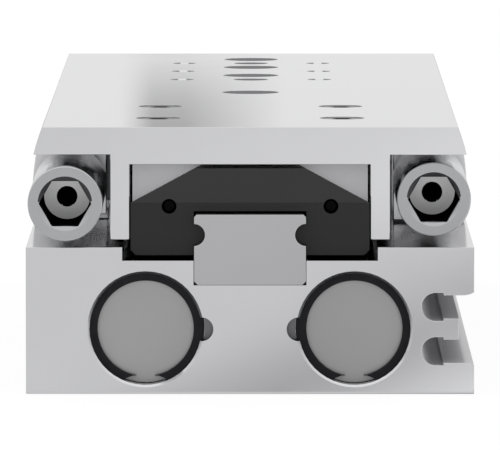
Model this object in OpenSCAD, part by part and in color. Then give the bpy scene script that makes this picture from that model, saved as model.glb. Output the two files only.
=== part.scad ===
// Pneumatic slide table. Two cylinders side by side in one body push a yoke,
// and the yoke carries a table that runs on a ball guide above them.
// Y runs along the travel, from the capped rear end to the yoke, and Z is up.
// The base face lies at Z = 0, under the middle of the whole length.

/* [Travel] */
// Travel of the table
stroke = 100; // [60:5:200]
// Distance from the table's rear end back to the body's rear face
table_setback = 3; // [1:0.5:6]
// Free gap between the body's front face and the yoke
yoke_gap = 2; // [1:0.5:6]

/* [Cylinders] */
// Diameter of each cylinder bore
bore_d = 15; // [12:0.5:16]
// Wall of the body below the bores
base_wall = 1.2; // [0.8:0.1:4]
// Wall of the body between the bores and the recess above them
roof_wall = 1.7; // [1.2:0.1:4]
// Wall of the body outside each bore, which holds the sensor slots
side_wall = 8.5; // [8.5:0.25:12]
// Length of each rear cap
cap_len = 5.5; // [5:0.5:10]
// Length of each piston
piston_len = 22; // [20:1:30]
// Space behind each piston when the table is home
chamber_gap = 7; // [5:0.5:12]
// Space before each piston when the table is out
front_gap = 10.5; // [6:0.5:20]
// Diameter of the piston rods
rod_d = 6; // [5:0.5:8]
// Depth of the retaining rings below the body's end faces
ring_inset = 2.5; // [1.5:0.1:4]
// Thickness of the retaining rings
ring_t = 1; // [0.8:0.1:1.5]
// Radial depth of the retaining ring grooves
ring_bite = 0.4; // [0.3:0.05:0.8]
// Opening between the tips of a retaining ring
ring_gap = 3.4; // [2:0.1:5]
// Radius of the pocket beside each bore that frees its retaining ring
pocket_r = 1.6; // [1:0.1:2]
// Depth of that pocket
pocket_depth = 3; // [2.5:0.1:6]

/* [Body] */
// Width of the recess between the body's shoulders
recess_w = 34.2; // [33.5:0.1:36]
// Depth of that recess
recess_depth = 1.8; // [1:0.1:3]
// Depth of the groove that seats the rail
rail_groove_depth = 3.3; // [2.5:0.1:4]
// Distance between the two sensor slots
slot_pitch = 5.95; // [5.5:0.05:7]
// Height of the lower sensor slot above the base
slot_z = 5.75; // [5:0.05:7]
// Radius of the round bottom of a sensor slot
slot_r = 1.88; // [1.6:0.02:2.1]
// Height of the neck of a sensor slot
slot_neck = 3.1; // [2.6:0.1:3.4]
// Depth of a sensor slot from the body's side to the centre of its round bottom
slot_depth = 5.16; // [4.6:0.02:5.4]
// Depth of the neck of a sensor slot from the body's side
slot_neck_depth = 4.13; // [3.5:0.01:4.4]
// How far the tongue between the slots stands back from the side
slot_tongue_step = 2.05; // [1:0.05:3]
// Drilled diameter of the two air port threads
port_d = 4.2; // [3.2:0.1:5]
// Depth of the air port threads
port_depth = 5.5; // [4:0.5:7]
// Diameter of the air drillings behind the threads
air_d = 3; // [2:0.1:3.5]
// Drilled diameter of the mounting threads in the base
base_thread_d = 4.2; // [3.3:0.1:5]
// Depth of the mounting threads in the base
base_thread_depth = 6.5; // [4:0.5:7]
// Distance between the mounting threads in the base
base_thread_pitch = 40; // [20:5:40]
// Distance from the body's rear face to the first mounting thread
base_thread_inset = 36; // [20:1:50]

/* [Guide] */
// Width of the rail
rail_w = 15; // [14:0.5:16]
// Height of the rail
rail_h = 9.5; // [9:0.1:10.5]
// Height of the guide from the rail's foot to the carriage's top
guide_h = 16; // [15.5:0.1:18]
// Height of the ball track above the rail's foot
track_rise = 6.75; // [6:0.05:7.2]
// Diameter of the balls
ball_d = 2.8; // [2:0.1:3]
// Distance between the loaded and the returning row of balls
ball_return = 4.1; // [3.8:0.1:4.6]
// Distance between the rail screws
rail_screw_pitch = 40; // [20:5:60]
// Distance from each rail end to its nearest rail screw
rail_screw_inset = 16; // [10:1:20]
// Width of the carriage
carriage_w = 32; // [31:0.5:34]
// Length of the carriage's steel block
block_len = 43; // [40:1:60]
// Length of each end cap of the carriage
end_cap_len = 10.1; // [5:0.1:11]
// Thickness of each wiper seal
wiper_t = 1; // [0.6:0.1:2]
// Distance from the table's rear end to the carriage's middle
carriage_inset = 31.6; // [31:0.1:50]
// Spacing of the four screws that hold the table to the carriage
carriage_screw_pitch = 25; // [20:1:25]

/* [Table] */
// Thickness of the table's web over the carriage
web_t = 5; // [4.5:0.1:8]
// Thickness of the table's side flanges
flange_t = 3.7; // [3.2:0.1:4.5]
// Thickness of the two legs that box in the carriage
leg_t = 2.6; // [2:0.1:4]
// Side gap between a leg and the carriage
channel_clear = 0.15; // [0.05:0.05:0.5]
// Gap between the legs and the body's shoulders
leg_clear = 0.8; // [0.3:0.1:1.5]
// Radius of the crown along the outer sides of the table and the holders
table_crown_r = 33; // [25:1:200]
// Height above the shoulders at which the crowned sides stand upright
crown_rise = 4.3; // [3:0.1:8]
// Thickness of the wall that closes the channel at the yoke
end_wall_t = 12; // [10:0.5:20]
// Distance from the table's front end to its first row of holes
grid_inset = 15.5; // [10:0.5:20]
// Spacing of the rows of holes in the table
grid_pitch = 20; // [15:1:20]
// Distance of the outer load threads from the centre line
grid_thread_x = 10; // [8:0.5:14]
// Drilled diameter of the load threads in the table
load_thread_d = 2.5; // [2.1:0.1:3.3]
// Diameter of the locating bores in the table
locating_bore_d = 8; // [6:0.5:9]
// Depth of the locating bores
locating_bore_depth = 2.2; // [1.5:0.1:3]
// Diameter of the dowel bores in the table
dowel_bore_d = 5; // [4:0.5:6]

/* [Yoke] */
// Thickness of the yoke
yoke_t = 10; // [8:0.5:16]
// How far the yoke's top lies below the table's top
yoke_drop = 1; // [0.5:0.1:1]
// Gap between the yoke and the surface that the slide stands on
yoke_lift = 0.8; // [0.5:0.1:3]
// How far each side of the yoke stands back from the body's side
yoke_side_inset = 1.4; // [0:0.1:3]
// Corner radius of the yoke
yoke_corner_r = 2; // [0.5:0.5:4]
// Distance between the yoke's screws into the table
yoke_screw_pitch = 9.4; // [8:0.1:10]
// Sideways distance between the load threads in the yoke
yoke_thread_x = 45; // [42:1:50]
// Upright distance between the load threads in the yoke
yoke_thread_z = 16; // [10:1:18]

/* [Dampers] */
// Distance from the body's rear face to the home damper's holder
home_holder_y = 36; // [20:1:50]
// Distance from the body's rear face to the end damper's holder, table home
end_holder_y = 44; // [20:1:50]
// Length of each damper holder
holder_len = 13; // [11:0.5:20]
// Wall of a holder between its bore and the table's leg
holder_inner_wall = 0.85; // [0.6:0.05:2]
// Wall of a holder between its bore and the body's side
holder_outer_wall = 1.25; // [1.1:0.05:3]
// Gap between a leg of the table and a holder
holder_gap = 1.05; // [0.8:0.05:2]
// Width of the relief under a holder, beside the leg
holder_relief_w = 3.2; // [1:0.1:4]
// Thickness of a holder's foot
foot_t = 1.7; // [1.6:0.1:1.8]
// Length of a holder's foot
foot_len = 14; // [13:0.5:20]
// Diameter of the damper barrels
barrel_d = 8; // [7:0.5:8]
// Height of the damper axis above the shoulders
damper_rise = 6; // [5.8:0.1:6.2]
// How far a damper barrel stands out of its holder's front
barrel_proud = 1; // [0.5:0.1:3]
// Diameter of the locking sleeves
sleeve_d = 10; // [9.6:0.1:10.2]
// Length of the locking sleeves
sleeve_len = 38; // [25:1:40]
// Size across flats of the hexagon in a locking sleeve
sleeve_key = 6; // [5:0.5:6.5]
// Depth of that hexagon
sleeve_key_depth = 6; // [4:0.5:7]
// Depth of the barrel's rear end inside its sleeve
barrel_depth = 13.4; // [12:0.1:18]
// Travel of a damper's plunger
plunger_stroke = 3.5; // [2:0.1:3.7]
// How far a free plunger's buffer stands out of its barrel
buffer_proud = 4; // [4:0.1:6]
// Diameter of the buffer on a plunger
buffer_d = 4.8; // [4:0.1:4.8]
// Length of the buffer on a plunger
buffer_len = 3; // [2:0.1:3]
// Diameter of the plungers
plunger_d = 2.5; // [2:0.1:3]
// Length of the home stop under the table
home_stop_len = 13; // [13:0.5:20]
// Length of the end stop on the body
end_stop_len = 9.2; // [9:0.1:14]
// Gap left between a free plunger and its stop
stop_gap = 0.3; // [0.2:0.05:0.6]
// How far the end stop stands back from the body's front face
end_stop_inset = 0.5; // [0.2:0.1:3]

/* [Screws] */
// Thread diameter of the small screws
m3_d = 3; // [2.5:0.5:3]
// Tapping drill of the small screws
m3_tap = 2.5; // [2:0.1:2.6]
// Head diameter of the small screws
m3_head_d = 5.5; // [4.5:0.1:5.6]
// Socket of the small screws across flats
m3_key = 2.5; // [2:0.5:2.5]
// Thread diameter of the large screws
m4_d = 4; // [3.5:0.5:4]
// Tapping drill of the large screws
m4_tap = 3.3; // [2.9:0.1:3.4]
// Head diameter of the large screws
m4_head_d = 7; // [6:0.1:7]
// Socket of the large screws across flats
m4_key = 3; // [2.5:0.5:3]

/* [Hidden] */
$fn = 64;
// Clearances: screw in its thread, screw in a through hole, running fit, static fit, free space
thread_clear = 0.02;
hole_clear = 0.4;
run_clear = 0.05;
seat_clear = 0.02;
free_gap = 0.3;
// Overshoot of every cut, so that no cut ends on a face
cut = 1;
// How far two shapes of one piece reach into each other, and a drill past its screw
weld = 0.1;
drill_past = 0.3;
// Shares of a screw's head: depth of a socket, then key and socket of a countersunk head
socket_share = 0.55;
flat_key_share = 0.66;
flat_socket_share = 0.75;

// Heights
bore_z = base_wall + bore_d / 2;
recess_z = base_wall + bore_d + roof_wall;
body_h = recess_z + recess_depth;
rail_z = recess_z - rail_groove_depth;
rail_top = rail_z + rail_h;
track_z = rail_z + track_rise;
ceiling_z = rail_z + guide_h;
top_z = ceiling_z + web_t;
flange_z = top_z - flange_t;
leg_z = body_h + leg_clear;
crown_z = body_h + crown_rise;
damper_z = body_h + damper_rise;

// Widths, out from the centre line
channel_w = carriage_w + 2 * channel_clear;
leg_x = channel_w / 2 + leg_t;
holder_x = leg_x + holder_gap;
barrel_bore_d = barrel_d + 2 * run_clear;
damper_x = holder_x + holder_inner_wall + barrel_bore_d / 2;
side_x = damper_x + barrel_bore_d / 2 + holder_outer_wall;
body_w = 2 * side_x;
bore_x = side_x - side_wall - bore_d / 2;

// Places along Y, from the body's rear face with the table home
home_barrel_y = home_holder_y + holder_len + barrel_proud;
end_barrel_y = end_holder_y + holder_len + barrel_proud;
home_stop_y = home_barrel_y + buffer_proud + stop_gap;
end_stop_y = end_barrel_y + buffer_proud + stroke + stop_gap;
body_len = end_stop_y + end_stop_len + end_stop_inset;
table_y = table_setback;
table_len = body_len + yoke_gap - table_setback;
yoke_y = table_y + table_len;
carriage_y = table_y + carriage_inset;
cap_y = ring_inset + ring_t;
piston_y = cap_y + cap_len + chamber_gap;
gland_y = piston_y + piston_len + stroke + front_gap;
gland_len = body_len - cap_y - gland_y;
rear_port_y = piston_y - chamber_gap / 2;
front_port_y = gland_y - front_gap / 2;
rearmost_y = min(0, home_holder_y - sleeve_len, end_holder_y - sleeve_len);
origin_y = (rearmost_y + yoke_y + yoke_t) / 2;

// Ball guide
track_d = ball_d + 2 * run_clear;
ball_pitch = ball_d + 0.15;
ball_count = floor((block_len - ball_d) / ball_pitch) + 1;
carriage_lift = 1;
end_cap_lift = 0.6;
rail_gap = 0.3;
rail_foot_chamfer = 0.5;
rail_top_chamfer = 0.35;
rail_screw_count = floor((body_len - 2 * rail_screw_inset) / rail_screw_pitch) + 1;
rail_cbore_depth = 4.5;
rail_thread = 5;
end_cap_top_w = 14.5;
end_cap_top_gap = 0.5;
end_cap_shoulder_drop = 5.1;
end_cap_chamfer = 0.7;
end_cap_rake = 8;
end_cap_screw_x = 10.84;
end_cap_screw_drop = 5.55;
end_cap_screw_d = 1.9;
end_cap_tap_d = 1.3;
end_cap_screw_clear = 0.05;
end_cap_screw_sink = 0.3;
end_cap_thread = 3;
block_chamfer = 0.5;

// Cylinder parts
fit_d = bore_d - 2 * run_clear;
ring_d = bore_d + 2 * ring_bite;
ring_width = 1.05;
ring_offset = 0.12;
ring_play = 0.05;
ring_end_angle = 21;
mouth_chamfer = 0.3;
cord_d = 1.7;
cord_groove_w = 2;
seal_w = 2.2;
seal_depth = 1.45;
seal_ys = [11.5, 17.5];
wear_w = 4;
wear_depth = 0.8;
wear_y = 1.8;
magnet_w = 3;
magnet_depth = 1.3;
magnet_y = 7.2;
lip_clear = 0.02;
spigot_d = 4;
spigot_land = 2;
spigot_len = piston_len - spigot_land;
rod_seal_d = 9.2;
rod_seal_len = 3;
rod_thread = 10;

// Body details
lip_run = 1.43;
lip_rise = 0.4;
edge_break = 0.1;
base_thread_margin = 12;
base_thread_count =
    floor((body_len - base_thread_inset - base_thread_margin) / base_thread_pitch) + 1;

// Table details
cbore_clear = 0.5;
table_head_sink = 0.1;
cbore_depth = m3_d + table_head_sink;
carriage_thread = 4.5;
end_wall_lift = 0.7;
yoke_thread = 9;
locating_rows = [0, 1, 2, 4];
dowel_rows = [0.5, 2.5];
thread_rows = [0.5, 1.5, 2.5];

// Yoke details
yoke_top = top_z - yoke_drop;
yoke_w = body_w - 2 * yoke_side_inset;
yoke_screw_edge = 0.85;
yoke_screw_z = yoke_top - (m4_head_d + cbore_clear) / 2 - yoke_screw_edge;
yoke_head_sink = 0.4;
yoke_cbore_depth = m4_d + yoke_head_sink;
yoke_load_z = 10;

// Damper details
foot_screw_inset = 3.6;
foot_screw_pitch = 6.8;
foot_csk_d = 5.8;
foot_csk_depth = 1.35;
foot_csk_clear = 0.1;
foot_side_inset = 1.2;
foot_thread = 4.5;
flange_thread = 2.9;
stop_lift = 0.6;
stop_screw_pitch = 6.6;
stop_screw_rise = 1.5;
stop_screw_z = damper_z + stop_screw_rise;
stop_head_sink = 0.2;
stop_cbore_depth = m3_d + stop_head_sink;
stop_side_inset = 1.4;
home_stop_x = side_x - stop_side_inset;
stop_thread_short = 0.15;
end_stop_thread = 4.8;
end_stop_head_sink = 0.4;
end_stop_cbore_depth = m4_d + end_stop_head_sink;
end_stop_side = 0.5;
end_stop_top = flange_z - foot_t - end_stop_side;
barrel_nose_d = 6.2;
barrel_nose_len = 2;
barrel_dome = 0.6;
barrel_key = 2.5;
barrel_key_depth = 3;
barrel_key_ring_d = 2.8;
barrel_key_ring_depth = 0.5;
sleeve_mouth_d = 7.3;
sleeve_mouth_end_d = 5.7;
sleeve_mouth_depth = 0.5;
buffer_recess_clear = 0.2;
buffer_recess_d = buffer_d + 2 * buffer_recess_clear;
buffer_recess_spare = 0.6;
buffer_recess_depth = buffer_len + plunger_stroke - buffer_proud + buffer_recess_spare;
plunger_bore_depth = 22;
plunger_back = 14;
plunger_grip = 1.5;

// ---------------------------------------------------------------- helpers

// Moves a part from the body's rear face to the slide's own origin
module from_rear() {
    translate([0, -origin_y, 0]) children();
}

// Runs an outline, drawn as seen from the rear, along Y
module bar(y, len) {
    translate([0, y + len, 0]) rotate([90, 0, 0]) linear_extrude(len) children();
}

// Round bars along Y, X and Z, each from its own start point
module y_rod(d, p, len, d2 = -1) {
    translate(p) rotate([-90, 0, 0]) cylinder(d1 = d, d2 = d2 < 0 ? d : d2, h = len);
}

module x_rod(d, p, len) {
    translate(p) rotate([0, 90, 0]) cylinder(d = d, h = len);
}

module z_rod(d, p, len) {
    translate(p) cylinder(d = d, h = len);
}

// Tube along Y
module y_tube(outer, inner, p, len) {
    difference() {
        y_rod(outer, p, len);
        y_rod(inner, p - [0, cut, 0], len + 2 * cut);
    }
}

// Ring of round section around Y, such as an O-ring
module y_torus(outer, section, p) {
    translate(p) rotate([-90, 0, 0]) rotate_extrude()
        translate([(outer - section) / 2, 0]) circle(d = section);
}

// Hexagon socket that opens at the origin and runs down Z
module hex_socket(key, depth) {
    translate([0, 0, -depth]) cylinder(d = key / cos(30), h = depth + cut, $fn = 6);
}

// Socket head screw that points down Z, with the top of its head at the origin
module cap_screw(d, tap, head, key, grip, thread) {
    difference() {
        union() {
            translate([0, 0, -d]) cylinder(d = head, h = d);
            translate([0, 0, -d - grip]) cylinder(d = d, h = grip + d / 2);
            translate([0, 0, -d - grip - thread])
                cylinder(d = tap - 2 * thread_clear, h = thread + grip);
        }
        hex_socket(key, d * socket_share);
    }
}

// Countersunk screw that points down Z, with its flat top at the origin
module flat_screw(d, tap, head, height, grip, thread) {
    difference() {
        union() {
            translate([0, 0, -height]) cylinder(d1 = d, d2 = head, h = height);
            translate([0, 0, -grip]) cylinder(d = tap - 2 * thread_clear, h = grip - height / 2);
            translate([0, 0, -grip - thread])
                cylinder(d = tap - 2 * thread_clear, h = thread + cut / 2);
        }
        hex_socket(d * flat_key_share, height * flat_socket_share);
    }
}

module m3_cap_screw(grip, thread) {
    cap_screw(m3_d, m3_tap, m3_head_d, m3_key, grip, thread);
}

module m4_cap_screw(grip, thread) {
    cap_screw(m4_d, m4_tap, m4_head_d, m4_key, grip, thread);
}

// Rectangle with true round corners, centred on X and standing on y
module rounded_plate(w, y, h, r) {
    translate([-w / 2 + r, y]) square([w - 2 * r, h]);
    translate([-w / 2, y + r]) square([w, h - 2 * r]);
    for (sx = [-1, 1], z = [y + r, y + h - r])
        translate([sx * (w / 2 - r), z]) circle(r);
}

// Lens that crowns both long sides of whatever it is cut with
module crown(r) {
    intersection() {
        translate([side_x - r, crown_z]) circle(r);
        translate([r - side_x, crown_z]) circle(r);
    }
}

// ------------------------------------------------------------------- body

// One sensor slot: round bottom, wide chamber and narrower neck
module sensor_slot(z) {
    translate([side_x - slot_depth, z]) circle(slot_r);
    translate([side_x - slot_depth, z - slot_r])
        square([slot_depth - slot_neck_depth, 2 * slot_r]);
    translate([side_x - slot_neck_depth - weld, z - slot_neck / 2])
        square([slot_neck_depth + cut, slot_neck]);
}

// Rounding of a slot's outer lip, which opens towards the side; up is 1 or -1
module slot_lip(z, up) {
    lip_r = (lip_run * lip_run + lip_rise * lip_rise) / (2 * lip_rise);
    translate([side_x - lip_run, z]) scale([1, up]) difference() {
        translate([0, -slot_neck / 2])
            square([lip_run + cut, slot_neck / 2 + lip_rise + cut]);
        translate([0, lip_r]) circle(lip_r);
    }
}

module body_outline() {
    upper_slot_z = slot_z + slot_pitch;
    difference() {
        polygon([
            [-side_x + edge_break, 0], [side_x - edge_break, 0],
            [side_x, edge_break], [side_x, body_h],
            [-side_x, body_h], [-side_x, edge_break]
        ]);
        translate([-recess_w / 2, recess_z]) square([recess_w, recess_depth + cut]);
        translate([-rail_w / 2 - run_clear, rail_z])
            square([rail_w + 2 * run_clear, rail_groove_depth + cut]);
        sensor_slot(slot_z);
        sensor_slot(upper_slot_z);
        translate([side_x - slot_tongue_step, slot_z])
            square([slot_tongue_step + cut, slot_pitch]);
        slot_lip(upper_slot_z + slot_neck / 2, 1);
        slot_lip(slot_z - slot_neck / 2, -1);
    }
}

// Everything that is machined around one cylinder's axis
module cylinder_bore(side) {
    x = side * bore_x;
    y_rod(bore_d, [x, -cut, bore_z], body_len + 2 * cut);
    y_rod(bore_d + 2 * mouth_chamfer, [x, 0, bore_z], mouth_chamfer, bore_d);
    y_rod(bore_d, [x, body_len - mouth_chamfer, bore_z], mouth_chamfer,
        bore_d + 2 * mouth_chamfer);
    for (y = [ring_inset - ring_play, body_len - cap_y - ring_play])
        y_rod(ring_d + 2 * ring_play, [x, y, bore_z], ring_t + 2 * ring_play);
    y_rod(2 * pocket_r, [side * (bore_x - bore_d / 2), -cut, bore_z], pocket_depth + cut);
}

// Air port on the left side, drilled on through the first bore into the second
module air_port(y) {
    x_rod(port_d, [-side_x - cut, y, bore_z], port_depth + cut);
    x_rod(air_d, [-side_x, y, bore_z], side_x + bore_x - bore_d / 2 + cut);
}

module body() {
    color("#c6c7c9") from_rear() difference() {
        bar(0, body_len) body_outline();
        for (side = [-1, 1]) cylinder_bore(side);
        for (y = [rear_port_y, front_port_y]) air_port(y);
        for (i = [0 : rail_screw_count - 1])
            z_rod(m3_tap, [0, rail_screw_inset + i * rail_screw_pitch, rail_z - rail_thread - cut],
                rail_thread + 2 * cut);
        for (i = [0 : base_thread_count - 1])
            z_rod(base_thread_d, [0, base_thread_inset + i * base_thread_pitch, -cut],
                base_thread_depth + cut);
        for (i = [0, 1])
            z_rod(m3_tap, [-damper_x, foot_screw_y(home_holder_y, i), body_h - foot_thread - drill_past],
                foot_thread + cut);
        z_rod(m4_tap, [damper_x, end_stop_y + end_stop_len / 2, body_h - end_stop_thread],
            end_stop_thread + cut);
    }
}

// -------------------------------------------------------------- cylinders

// Retaining ring for a bore, open at the bottom, with slanted tips
module ring_outline() {
    tip_z = -(ring_d / 2 - ring_width - ring_bite);
    reach = ring_d / 2;
    drop = reach * tan(ring_end_angle);
    difference() {
        circle(d = ring_d);
        translate([0, -ring_offset]) circle(d = bore_d - 2 * ring_width);
        polygon([
            [-ring_gap / 2, tip_z], [-ring_gap / 2 - reach, tip_z - drop],
            [ring_gap / 2 + reach, tip_z - drop], [ring_gap / 2, tip_z]
        ]);
    }
}

module retaining_ring(side, y) {
    color("#262626") from_rear() translate([side * bore_x, 0, bore_z])
        bar(y, ring_t) ring_outline();
}

module rear_cap(side) {
    groove_y = cap_y + (cap_len - cord_groove_w) / 2;
    color("#9a9a9c") from_rear() difference() {
        y_rod(fit_d, [side * bore_x, cap_y, bore_z], cap_len);
        y_tube(bore_d, bore_d - 2 * cord_d, [side * bore_x, groove_y, bore_z], cord_groove_w);
    }
}

module rear_cap_o_rings() {
    color("#1d1d1d") from_rear() for (side = [-1, 1])
        y_torus(bore_d - 2 * lip_clear, cord_d - 2 * lip_clear,
            [side * bore_x, cap_y + cap_len / 2, bore_z]);
}

module rod_gland(side) {
    x = side * bore_x;
    front = gland_y + gland_len;
    color("#b59a5a") from_rear() difference() {
        y_rod(fit_d, [x, gland_y, bore_z], gland_len);
        y_rod(rod_d + 2 * run_clear, [x, gland_y - cut, bore_z], gland_len + 2 * cut);
        y_rod(rod_seal_d, [x, front - rod_seal_len, bore_z], rod_seal_len + cut);
        y_tube(bore_d, bore_d - 2 * cord_d,
            [x, gland_y + (gland_len - cord_groove_w) / 2, bore_z], cord_groove_w);
    }
}

module gland_o_rings() {
    color("#1d1d1d") from_rear() for (side = [-1, 1])
        y_torus(bore_d - 2 * lip_clear, cord_d - 2 * lip_clear,
            [side * bore_x, gland_y + gland_len / 2, bore_z]);
}

module rod_seals() {
    color("#202020") from_rear() for (side = [-1, 1])
        y_tube(rod_seal_d - 2 * seat_clear, rod_d + 2 * lip_clear,
            [side * bore_x, gland_y + gland_len - rod_seal_len, bore_z], rod_seal_len);
}

// Ring in a groove of the piston, depth deep, with w along the axis
module piston_ring(y, w, depth, outer) {
    for (side = [-1, 1])
        y_tube(outer, fit_d - 2 * depth + 2 * seat_clear,
            [side * bore_x, piston_y + y + seat_clear, bore_z], w - 2 * seat_clear);
}

module piston(side) {
    x = side * bore_x;
    grooves = [
        for (y = seal_ys) [y, seal_w, seal_depth],
        [wear_y, wear_w, wear_depth],
        [magnet_y, magnet_w, magnet_depth]
    ];
    color("#b8babc") from_rear() difference() {
        y_rod(fit_d, [x, piston_y, bore_z], piston_len);
        for (g = grooves)
            y_tube(bore_d, fit_d - 2 * g[2], [x, piston_y + g[0], bore_z], g[1]);
        y_rod(spigot_d + 2 * seat_clear, [x, piston_y + piston_len - spigot_len, bore_z],
            spigot_len + cut);
    }
}

module piston_seals() {
    color("#202020") from_rear() for (y = seal_ys)
        piston_ring(y, seal_w, seal_depth, bore_d - 2 * lip_clear);
}

module piston_wear_rings() {
    color("#d8d4c4") from_rear() piston_ring(wear_y, wear_w, wear_depth, bore_d - 2 * lip_clear);
}

module piston_magnets() {
    color("#4a4a4e") from_rear() piston_ring(magnet_y, magnet_w, magnet_depth, fit_d);
}

module piston_rod(side) {
    x = side * bore_x;
    start = piston_y + piston_len;
    color("#d6d8da") from_rear() difference() {
        union() {
            y_rod(rod_d, [x, start, bore_z], yoke_y - start);
            y_rod(spigot_d, [x, start - spigot_len, bore_z], spigot_len + cut);
        }
        y_rod(m4_tap, [x, yoke_y - rod_thread - cut, bore_z], rod_thread + 2 * cut);
    }
}

module rod_screws() {
    grip = yoke_t - yoke_cbore_depth;
    color("#8e9092") from_rear() for (side = [-1, 1])
        translate([side * bore_x, yoke_y + grip + m4_d, bore_z]) rotate([-90, 0, 0])
            m4_cap_screw(grip, rod_thread);
}

// ------------------------------------------------------------------ guide

module rail_outline() {
    difference() {
        polygon([
            [-rail_w / 2 + rail_foot_chamfer, rail_z], [rail_w / 2 - rail_foot_chamfer, rail_z],
            [rail_w / 2, rail_z + rail_foot_chamfer], [rail_w / 2, rail_top - rail_top_chamfer],
            [rail_w / 2 - rail_top_chamfer, rail_top], [-rail_w / 2 + rail_top_chamfer, rail_top],
            [-rail_w / 2, rail_top - rail_top_chamfer], [-rail_w / 2, rail_z + rail_foot_chamfer]
        ]);
        for (side = [-1, 1]) translate([side * rail_w / 2, track_z]) circle(d = track_d);
    }
}

module rail() {
    color("#acacae") from_rear() difference() {
        bar(0, body_len) rail_outline();
        for (i = [0 : rail_screw_count - 1]) {
            y = rail_screw_inset + i * rail_screw_pitch;
            z_rod(m3_d + hole_clear, [0, y, rail_z - cut], rail_h + 2 * cut);
            z_rod(m3_head_d + cbore_clear, [0, y, rail_top - rail_cbore_depth],
                rail_cbore_depth + cut);
        }
    }
}

module rail_screws() {
    grip = rail_h - rail_cbore_depth;
    color("#5c5d60") from_rear() for (i = [0 : rail_screw_count - 1])
        translate([0, rail_screw_inset + i * rail_screw_pitch, rail_z + grip + m3_d])
            m3_cap_screw(grip, rail_thread);
}

module block_outline() {
    foot = recess_z + carriage_lift;
    difference() {
        polygon([
            [-carriage_w / 2, foot], [carriage_w / 2, foot],
            [carriage_w / 2, ceiling_z - block_chamfer],
            [carriage_w / 2 - block_chamfer, ceiling_z],
            [-carriage_w / 2 + block_chamfer, ceiling_z],
            [-carriage_w / 2, ceiling_z - block_chamfer]
        ]);
        translate([-rail_w / 2 - rail_gap, foot - cut])
            square([rail_w + 2 * rail_gap, rail_top + rail_gap - foot + cut]);
        for (side = [-1, 1]) {
            translate([side * rail_w / 2, track_z]) circle(d = track_d);
            translate([side * (rail_w / 2 + ball_return), track_z]) circle(d = track_d);
        }
    }
}

module carriage_block() {
    color("#a6a7a9") from_rear() difference() {
        bar(carriage_y - block_len / 2, block_len) block_outline();
        for (sx = [-1, 1], sy = [-1, 1]) {
            z_rod(m3_tap, [sx * carriage_screw_pitch / 2, carriage_y + sy * carriage_screw_pitch / 2,
                ceiling_z - carriage_thread - drill_past], carriage_thread + cut);
            y_rod(end_cap_tap_d, [sx * end_cap_screw_x, carriage_y + sy * (block_len / 2),
                ceiling_z - end_cap_screw_drop] - [0, end_cap_thread + drill_past, 0],
                2 * (end_cap_thread + drill_past));
        }
    }
}

// Outline of an end cap; the wiper stops at its shoulders
module end_cap_outline(height) {
    half = carriage_w / 2;
    foot = recess_z + end_cap_lift;
    shoulder = ceiling_z - end_cap_shoulder_drop;
    top = ceiling_z - end_cap_top_gap;
    polygon(concat(
        [[-half + end_cap_chamfer, foot], [half - end_cap_chamfer, foot],
         [half, foot + end_cap_chamfer], [half, shoulder]],
        height > shoulder ? [[end_cap_top_w / 2, top], [-end_cap_top_w / 2, top]] : [],
        [[-half, shoulder], [-half, foot + end_cap_chamfer]]
    ));
}

// Faces of the carriage, from the middle out: block, end cap, wiper
end_cap_start = block_len / 2;
wiper_start = end_cap_start + end_cap_len;
wiper_end = wiper_start + wiper_t;

// An end cap at the carriage's rear; side 1 turns it to the front
module end_cap(side) {
    shoulder = ceiling_z - end_cap_shoulder_drop;
    color("#363637") from_rear() translate([0, carriage_y, 0])
    rotate([0, 0, side > 0 ? 180 : 0]) difference() {
        union() {
            bar(-wiper_start, end_cap_len) end_cap_outline(ceiling_z);
            // The raked upper half reaches out over the wiper
            intersection() {
                bar(-wiper_end, wiper_t + cut) end_cap_outline(ceiling_z);
                translate([-carriage_w, -wiper_end, shoulder + seat_clear])
                    rotate([90, 0, 90]) linear_extrude(2 * carriage_w) polygon([
                        [0, 0], [wiper_t + cut, 0],
                        [wiper_t + cut, guide_h], [guide_h * tan(end_cap_rake), guide_h]
                    ]);
            }
        }
        translate([-rail_w / 2 - rail_gap, -wiper_start - cut, 0])
            cube([rail_w + 2 * rail_gap, end_cap_len + 2 * cut, rail_top + rail_gap]);
        for (sx = [-1, 1]) {
            y_rod(end_cap_screw_d + 2 * end_cap_screw_clear, [sx * end_cap_screw_x, -wiper_end - cut,
                ceiling_z - end_cap_screw_drop], wiper_end + cut);
            translate([sx * (rail_w + ball_return) / 2, -end_cap_start, track_z])
                rotate_extrude() translate([ball_return / 2, 0]) circle(d = track_d);
        }
    }
}

// Rubber wiper below the end cap's shoulders, with lips in the rail's tracks
module wiper(side) {
    shoulder = ceiling_z - end_cap_shoulder_drop;
    color("#2f2f30") from_rear() translate([0, carriage_y, 0])
    rotate([0, 0, side > 0 ? 180 : 0]) difference() {
        bar(-wiper_end, wiper_t) difference() {
            end_cap_outline(shoulder);
            difference() {
                translate([-rail_w / 2 - run_clear, 0])
                    square([rail_w + 2 * run_clear, rail_top + rail_gap]);
                for (sx = [-1, 1])
                    translate([sx * rail_w / 2, track_z]) circle(d = track_d - 2 * run_clear);
            }
        }
        for (sx = [-1, 1])
            y_rod(end_cap_screw_d + 2 * end_cap_screw_clear, [sx * end_cap_screw_x, -wiper_end - cut,
                ceiling_z - end_cap_screw_drop], wiper_t + 2 * cut);
    }
}

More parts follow.
